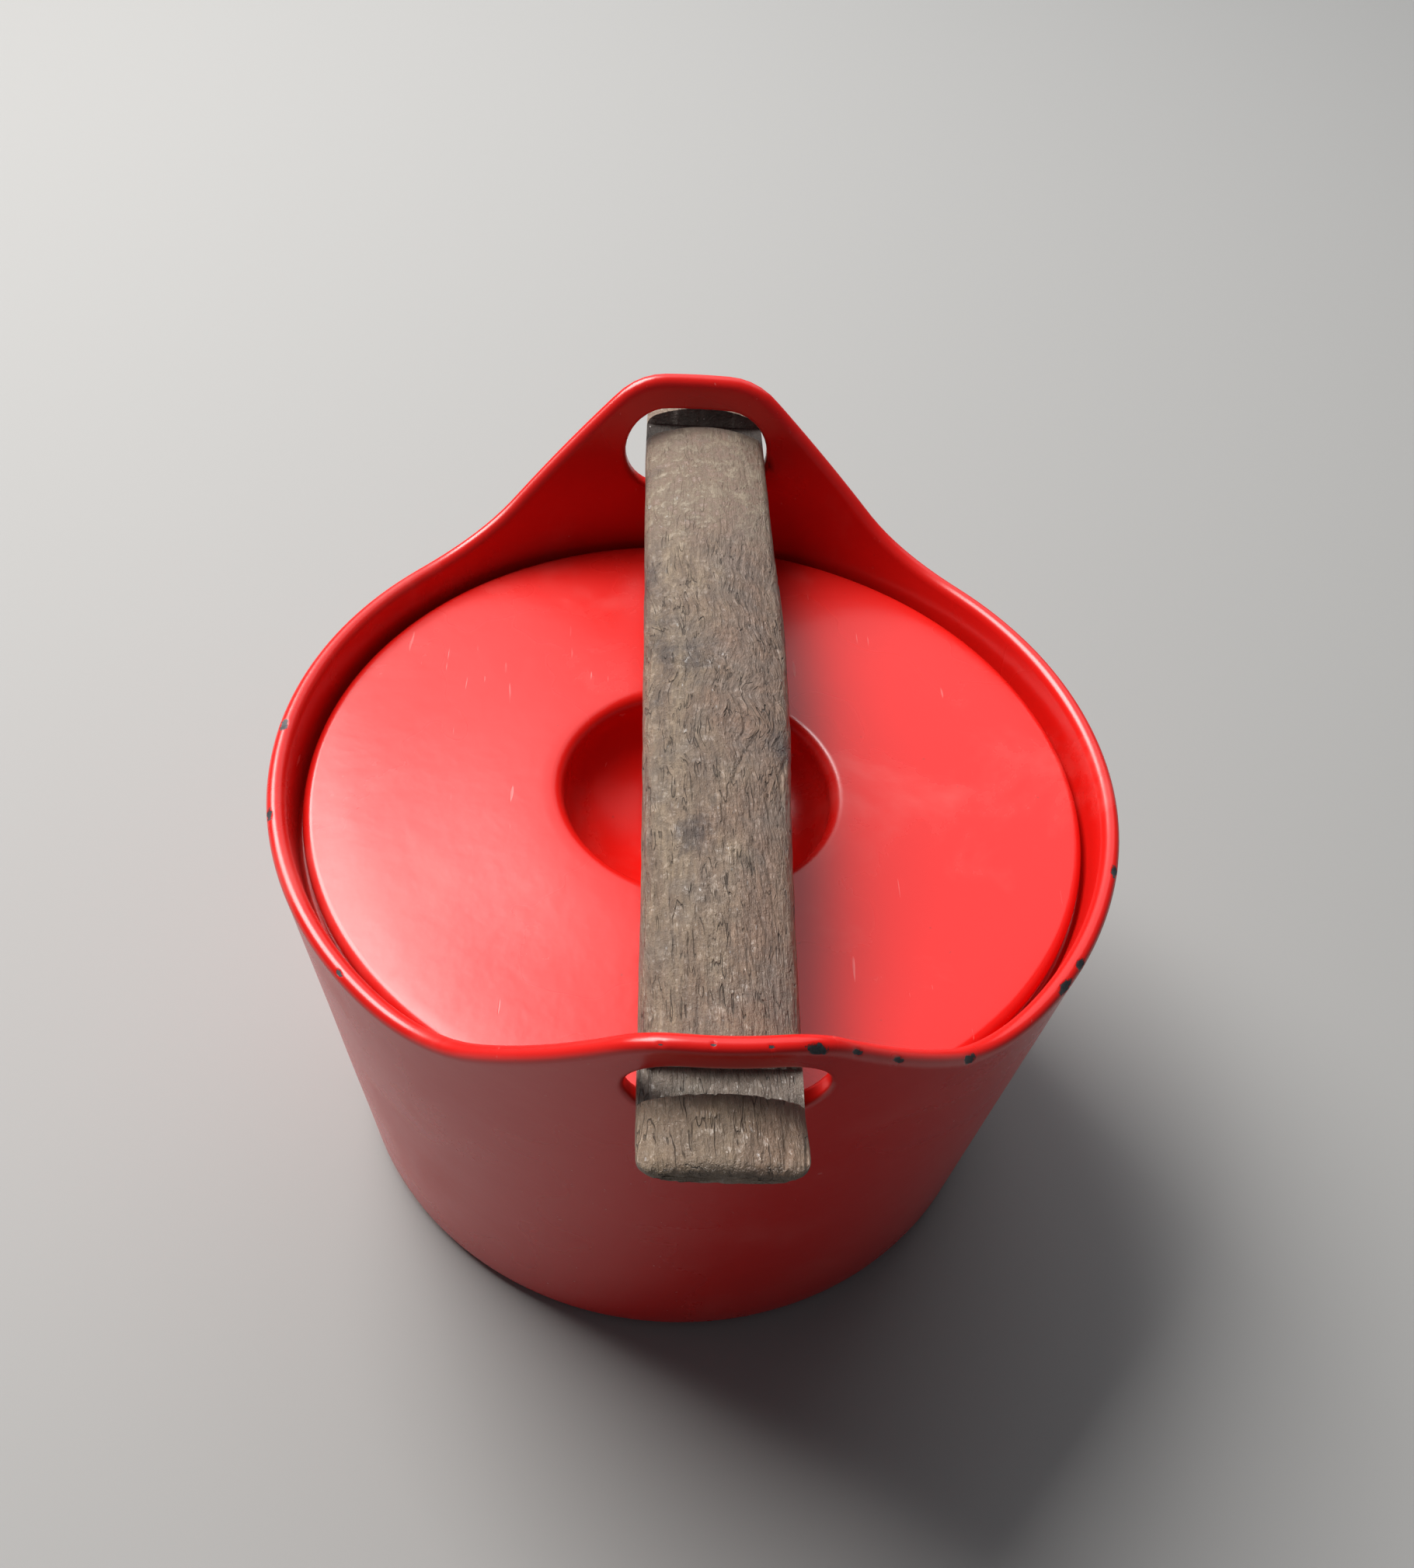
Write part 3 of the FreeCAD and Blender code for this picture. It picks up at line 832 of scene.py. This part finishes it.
def makeEnamel(name, chipped):
    look = enamelLook
    material, tree, shader, where = newMaterial(name)
    inside = addNode(tree, "ShaderNodeAttribute", attribute_name="inside").outputs["Fac"]
    insideMask = spread(tree, inside, 0.45, 0.55)
    base = mixColour(tree, insideMask, look["red"], look["cream"])
    coat = useGroup(tree, enamelCoat, {"Vector": where, "Colour": base, "Mottle": 0.6})
    marks = useGroup(tree, hairlines, {"Vector": where, "Amount": 1.0})
    colour = mixColour(tree, mathNode(tree, "MULTIPLY", marks["Scuff"], 0.10), coat["Colour"],
                       look["scuff"])
    colour = mixColour(tree, mathNode(tree, "MULTIPLY", marks["Scratch"], 0.16), colour,
                       look["scratch"])
    rough = mathNode(tree, "ADD", look["roughness"], mathNode(tree, "MULTIPLY", marks["Scuff"], 0.10))
    rough = mathNode(tree, "ADD", rough, mathNode(tree, "MULTIPLY", marks["Scratch"], 0.16))
    rough = mathNode(tree, "ADD", rough, mathNode(tree, "MULTIPLY", coat["Dull"], 0.05))
    height = mathNode(tree, "MULTIPLY", marks["Scratch"], 0.5)
    height = mathNode(tree, "SUBTRACT", coat["Height"], height)
    if chipped:
        field = addNode(tree, "ShaderNodeAttribute", attribute_name="chip").outputs["Fac"]
        ragged = noiseNode(tree, where, 900.0, 4.0, 0.7)
        field = mathNode(tree, "ADD", field, mathNode(tree, "MULTIPLY",
                         mathNode(tree, "SUBTRACT", ragged, 0.5), 2.2))
        bare = spread(tree, field, 0.02, -0.06)
        lip = spread(tree, field, 0.16, 0.02)
        grain = spread(tree, noiseNode(tree, where, 2600.0, 2.0), 0.3, 0.7)
        iron = mixColour(tree, grain, look["iron"], look["ironGrain"])
        colour = mixColour(tree, mathNode(tree, "MULTIPLY", lip, 0.8), colour, look["ironEdge"])
        colour = mixColour(tree, bare, colour, iron)
        rough = mathNode(tree, "ADD", rough, mathNode(tree, "MULTIPLY", bare, 0.3))
        height = mathNode(tree, "SUBTRACT", height, mathNode(tree, "MULTIPLY", lip, 3.0))
    tree.links.new(colour, shader.inputs["Base Color"])
    tree.links.new(rough, shader.inputs["Roughness"])
    bump = addNode(tree, "ShaderNodeBump", {"Height": height, "Strength": 0.22, "Distance": 0.35 * mm})
    tree.links.new(bump.outputs[0], shader.inputs["Normal"])
    setShader(shader, Specular_IOR_Level=0.5, IOR=1.52)
    return material


woodLook = {
    "pale": (0.300, 0.222, 0.152, 1),
    "mid": (0.222, 0.154, 0.108, 1),
    "red": (0.230, 0.136, 0.096, 1),
    "grey": (0.186, 0.160, 0.140, 1),
    "dark": (0.070, 0.046, 0.034, 1),
    "stain": (0.036, 0.031, 0.036, 1),
    "check": (0.024, 0.016, 0.012, 1),
    "farPale": (0.320, 0.262, 0.186, 1),
    "farPink": (0.220, 0.146, 0.108, 1),
    "notch": (0.190, 0.188, 0.178, 1),
    # Near-black painted shade for the far notch's sawn faces
    "farNotchShade": (0.014, 0.009, 0.007, 1),
    "paintedGlint": (0.55, 0.52, 0.50, 1),
    "roughness": 0.46,
}

# Dark stains in the wood: middle of each and half its width and length
woodStains = [
    ((-9.5 * mm, 14 * mm, 148 * mm), (4.5 * mm, 10 * mm, 8 * mm)),
    ((-3.0 * mm, 7 * mm, 152 * mm), (5.0 * mm, 7 * mm, 8 * mm)),
    ((-14.0 * mm, 36 * mm, 145 * mm), (3.0 * mm, 13 * mm, 8 * mm)),
    ((-12.0 * mm, -5 * mm, 148 * mm), (4.0 * mm, 5 * mm, 8 * mm)),
    ((15.5 * mm, -20 * mm, 146 * mm), (3.2 * mm, 8 * mm, 8 * mm)),
    ((-5.0 * mm, -47 * mm, 152 * mm), (4.5 * mm, 5 * mm, 8 * mm)),
    ((-12.5 * mm, 82 * mm, 146 * mm), (3.2 * mm, 6 * mm, 8 * mm)),
]


# Furrowed grain along Y: broad bands, furrows, dark checks and tiny spots of painted glint
def woodGroup():
    group, given, made = makeGroup("furrowedGrain", [
        ("Vector", "NodeSocketVector", None), ("Figure", "NodeSocketFloat", 0.004)],
        [(label, "NodeSocketFloat") for label in ("Furrow", "Check", "Band", "Glint")])
    warp = addNode(group, "ShaderNodeTexNoise", {"Vector": given["Vector"], "Scale": 30.0, "Detail": 2.0})
    centred = addNode(group, "ShaderNodeVectorMath", {0: warp.outputs["Color"], 1: (0.5, 0.5, 0.5)},
                      operation="SUBTRACT").outputs[0]
    bend = addNode(group, "ShaderNodeVectorMath", {0: centred, "Scale": given["Figure"]},
                   operation="SCALE").outputs[0]
    bent = addNode(group, "ShaderNodeVectorMath", {0: given["Vector"], 1: bend},
                   operation="ADD").outputs[0]
    furrow = noiseNode(group, stretch(group, bent, (1.0, 0.17, 1.0)), 1050.0, 3.0, 0.6)
    band = noiseNode(group, stretch(group, bent, (1.0, 0.16, 1.0)), 170.0, 4.0, 0.6)
    line = noiseNode(group, stretch(group, bent, (1.0, 0.13, 1.0)), 520.0, 2.0, 0.5)
    line = mathNode(group, "ABSOLUTE", mathNode(group, "SUBTRACT", line, 0.5))
    line = spread(group, line, 0.022, 0.003)
    patch = noiseNode(group, stretch(group, bent, (1.0, 0.5, 1.0)), 300.0, 2.0)
    patch = spread(group, patch, 0.48, 0.60)
    glintField = noiseNode(group, stretch(group, given["Vector"], (1.0, 0.4, 1.0)), 950.0, 1.0)
    group.links.new(furrow, made["Furrow"])
    group.links.new(mathNode(group, "MULTIPLY", line, patch), made["Check"])
    group.links.new(band, made["Band"])
    group.links.new(spread(group, glintField, 0.735, 0.78), made["Glint"])
    return group


def stainMask(tree, where):
    ragged = noiseNode(tree, where, 130.0, 6.0, 0.72)
    ragged = mathNode(tree, "MULTIPLY", mathNode(tree, "SUBTRACT", ragged, 0.5), 4.6)
    mask = None
    for middle, half in woodStains:
        away = addNode(tree, "ShaderNodeVectorMath", {0: where, 1: middle},
                       operation="SUBTRACT").outputs[0]
        away = addNode(tree, "ShaderNodeVectorMath", {0: away, 1: half},
                       operation="DIVIDE").outputs[0]
        length = addNode(tree, "ShaderNodeVectorMath", {0: away}, operation="LENGTH").outputs["Value"]
        here = spread(tree, mathNode(tree, "ADD", length, ragged), 1.3, -0.3)
        mask = here if mask is None else mathNode(tree, "MAXIMUM", mask, here)
    return mask


def makeWood():
    look = woodLook
    material, tree, shader, where = newMaterial("agedWood")
    apart = addNode(tree, "ShaderNodeSeparateXYZ", {0: where}).outputs
    x, y = apart["X"], apart["Y"]
    middle = mathNode(tree, "ABSOLUTE", mathNode(tree, "SUBTRACT", y, 2 * mm))
    figure = spread(tree, middle, 60 * mm, 15 * mm, 3 * mm, 17 * mm)
    grain = useGroup(tree, woodGroup(), {"Vector": where, "Figure": figure})
    farEnd = spread(tree, y, 42 * mm, 66 * mm)
    nearEnd = spread(tree, y, -92 * mm, -106 * mm)
    fresh = mathNode(tree, "SUBTRACT", 1.0, mathNode(tree, "MULTIPLY", farEnd, 0.65))
    band = spread(tree, grain["Band"], 0.34, 0.66)
    furrow = spread(tree, grain["Furrow"], 0.36, 0.64)
    colour = mixColour(tree, band, look["mid"], look["pale"])
    reddish = spread(tree, mathNode(tree, "ADD", x, mathNode(tree, "MULTIPLY",
                     mathNode(tree, "SUBTRACT", noiseNode(tree, where, 40.0, 3.0), 0.5), 40 * mm)),
                     -6 * mm, 8 * mm, 0.0, 0.65)
    colour = mixColour(tree, reddish, colour, look["red"])
    cloud = spread(tree, noiseNode(tree, where, 60.0, 5.0, 0.7), 0.42, 0.66, 0.0, 0.45)
    colour = mixColour(tree, cloud, colour, look["grey"])
    mottle = spread(tree, noiseNode(tree, where, 300.0, 6.0, 0.8), 0.38, 0.62)
    paleEnd = mixColour(tree, mottle, look["farPink"], look["farPale"])
    colour = mixColour(tree, mathNode(tree, "MULTIPLY", farEnd, 0.7), colour, paleEnd)
    # Darker furrows: partly the grain's own darker lines, partly painted shade in the grooves; less
    # towards the far end, where the furrows are shallower
    shade = mathNode(tree, "MULTIPLY", mathNode(tree, "SUBTRACT", 1.0, furrow), 0.42)
    colour = mixColour(tree, mathNode(tree, "MULTIPLY", shade, fresh), colour, look["dark"])
    colour = mixColour(tree, mathNode(tree, "MULTIPLY", nearEnd, 0.30), colour, look["pale"])
    stain = stainMask(tree, where)
    colour = mixColour(tree, mathNode(tree, "MULTIPLY", stain, 0.62), colour, look["stain"])
    check = mathNode(tree, "MULTIPLY", grain["Check"], fresh)
    colour = mixColour(tree, mathNode(tree, "MULTIPLY", check, 0.55), colour, look["check"])
    sawn = addNode(tree, "ShaderNodeAttribute", attribute_name="sawn").outputs["Fac"]
    farSide = spread(tree, y, 0.0, 10 * mm)
    colour = mixColour(tree, mathNode(tree, "MULTIPLY", sawn, 0.45), colour, look["notch"])
    # Painted shade: the sawn faces of the far notch, which sit under the lug, are mixed towards
    # near-black
    paintedNotchShade = mathNode(tree, "MULTIPLY", mathNode(tree, "MULTIPLY", sawn, farSide), 0.88)
    colour = mixColour(tree, paintedNotchShade, colour, look["farNotchShade"])
    polish = noiseNode(tree, stretch(tree, where, (1.0, 0.45, 1.0)), 95.0, 3.0, 0.6)
    polish = spread(tree, polish, 0.50, 0.70)
    rough = mathNode(tree, "SUBTRACT", look["roughness"], mathNode(tree, "MULTIPLY", polish, 0.14))
    rough = mathNode(tree, "SUBTRACT", rough, mathNode(tree, "MULTIPLY", nearEnd, 0.17))
    rough = mathNode(tree, "ADD", rough, mathNode(tree, "MULTIPLY", paintedNotchShade, 0.4))
    rough = mathNode(tree, "SUBTRACT", rough, mathNode(tree, "MULTIPLY", grain["Glint"], 0.26))
    rough = mathNode(tree, "ADD", rough, mathNode(tree, "MULTIPLY", check, 0.25))
    # Painted glint: tiny sparkle spots are mixed towards pale grey, on spots that are also made glossier
    paintedGlint = mathNode(tree, "MULTIPLY", grain["Glint"], 0.45)
    colour = mixColour(tree, paintedGlint, colour, look["paintedGlint"])
    height = mathNode(tree, "MULTIPLY", grain["Furrow"], fresh)
    height = mathNode(tree, "SUBTRACT", height, mathNode(tree, "MULTIPLY", check, 0.5))
    height = mathNode(tree, "ADD", height, mathNode(tree, "MULTIPLY", mottle, 0.22))
    tree.links.new(colour, shader.inputs["Base Color"])
    tree.links.new(rough, shader.inputs["Roughness"])
    bump = addNode(tree, "ShaderNodeBump", {"Height": height, "Strength": 1.0, "Distance": 0.9 * mm})
    tree.links.new(bump.outputs[0], shader.inputs["Normal"])
    setShader(shader, Specular_IOR_Level=0.5)
    return material


pot = makePot()
lid = makeLid()
handle = makeHandle()
for piece, node, slot, material in (
        (pot, "pot", "pot_enamel", makeEnamel("potEnamel", True)),
        (lid, "lid", "lid_enamel", makeEnamel("lidEnamel", False)),
        (handle, "handle", "handle_wood", makeWood())):
    piece.data.materials.clear()
    piece.data.materials.append(material)
    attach(piece, node)
    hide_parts(node)
print("materials set")


studio = {
    "floorColour": (0.34, 0.336, 0.328, 1),
    "sky": (0.86, 0.92, 1.0, 1),
    "skyStrength": 0.10,
}

# name, place in metres, size in metres, power in watts, colour
lamps = [
    ("key", (-0.84, 0.80, 1.58), 1.10, 59.0, (1.0, 0.98, 0.96)),
    ("back", (0.30, 1.80, 1.80), 2.6, 24.0, (0.93, 0.97, 1.0)),
    ("window", (-0.30, 0.96, 1.42), 0.22, 1.1, (0.95, 0.98, 1.0)),
]


def makeStudio():
    reach = 3.0
    mesh = bpy.data.meshes.new("floor")
    corners = [(-reach, -reach, 0), (reach, -reach, 0), (reach, reach, 0), (-reach, reach, 0)]
    mesh.from_pydata(corners, [], [(0, 1, 2, 3)])
    ground = bpy.data.objects.new("floor", mesh)
    scene.collection.objects.link(ground)
    material = bpy.data.materials.new("paleFloor")
    material.use_nodes = True
    setShader(material.node_tree.nodes["Principled BSDF"], Base_Color=studio["floorColour"],
              Roughness=0.7)
    mesh.materials.append(material)
    world = bpy.data.worlds.new("studio")
    world.use_nodes = True
    back = world.node_tree.nodes["Background"]
    back.inputs["Color"].default_value = studio["sky"]
    back.inputs["Strength"].default_value = studio["skyStrength"]
    scene.world = world
    target = Vector((0, 0, 0.09))
    for name, place, size, power, colour in lamps:
        light = bpy.data.lights.new(name, "AREA")
        light.energy = power
        light.size = size
        light.color = colour
        lamp = bpy.data.objects.new(name, light)
        lamp.location = place
        lamp.rotation_mode = "QUATERNION"
        lamp.rotation_quaternion = (target - Vector(place)).to_track_quat("-Z", "Y")
        scene.collection.objects.link(lamp)
    scene.view_settings.view_transform = "Standard"
    scene.view_settings.look = "None"


# Turns in degrees. The lens, the long side of the frame and the raise share one unit
view = {
    "place": (-24.36 * mm, -242.85 * mm, 371.79 * mm),
    "yaw": 7.107,
    "pitch": 51.535,
    "roll": 6.598,
    "lens": 1820.0,
    "long": 2018.0,
    "raise": 170.2,
}


def makeCamera():
    yaw, pitch, roll = (math.radians(view[k]) for k in ("yaw", "pitch", "roll"))
    ahead = Vector((math.sin(yaw) * math.cos(pitch), math.cos(yaw) * math.cos(pitch), -math.sin(pitch)))
    level = Vector((math.cos(yaw), -math.sin(yaw), 0))
    above = level.cross(ahead)
    right = math.cos(roll) * level + math.sin(roll) * above
    up = -math.sin(roll) * level + math.cos(roll) * above
    data = bpy.data.cameras.new("camera")
    data.sensor_width = 36
    data.lens = 36 * view["lens"] / view["long"]
    data.shift_y = view["raise"] / view["long"]
    camera = bpy.data.objects.new("camera", data)
    camera.matrix_world = Matrix((
        (right.x, up.x, -ahead.x, view["place"][0]),
        (right.y, up.y, -ahead.y, view["place"][1]),
        (right.z, up.z, -ahead.z, view["place"][2]),
        (0, 0, 0, 1)))
    scene.collection.objects.link(camera)
    scene.camera = camera


makeStudio()
makeCamera()
bpy.context.view_layer.update()
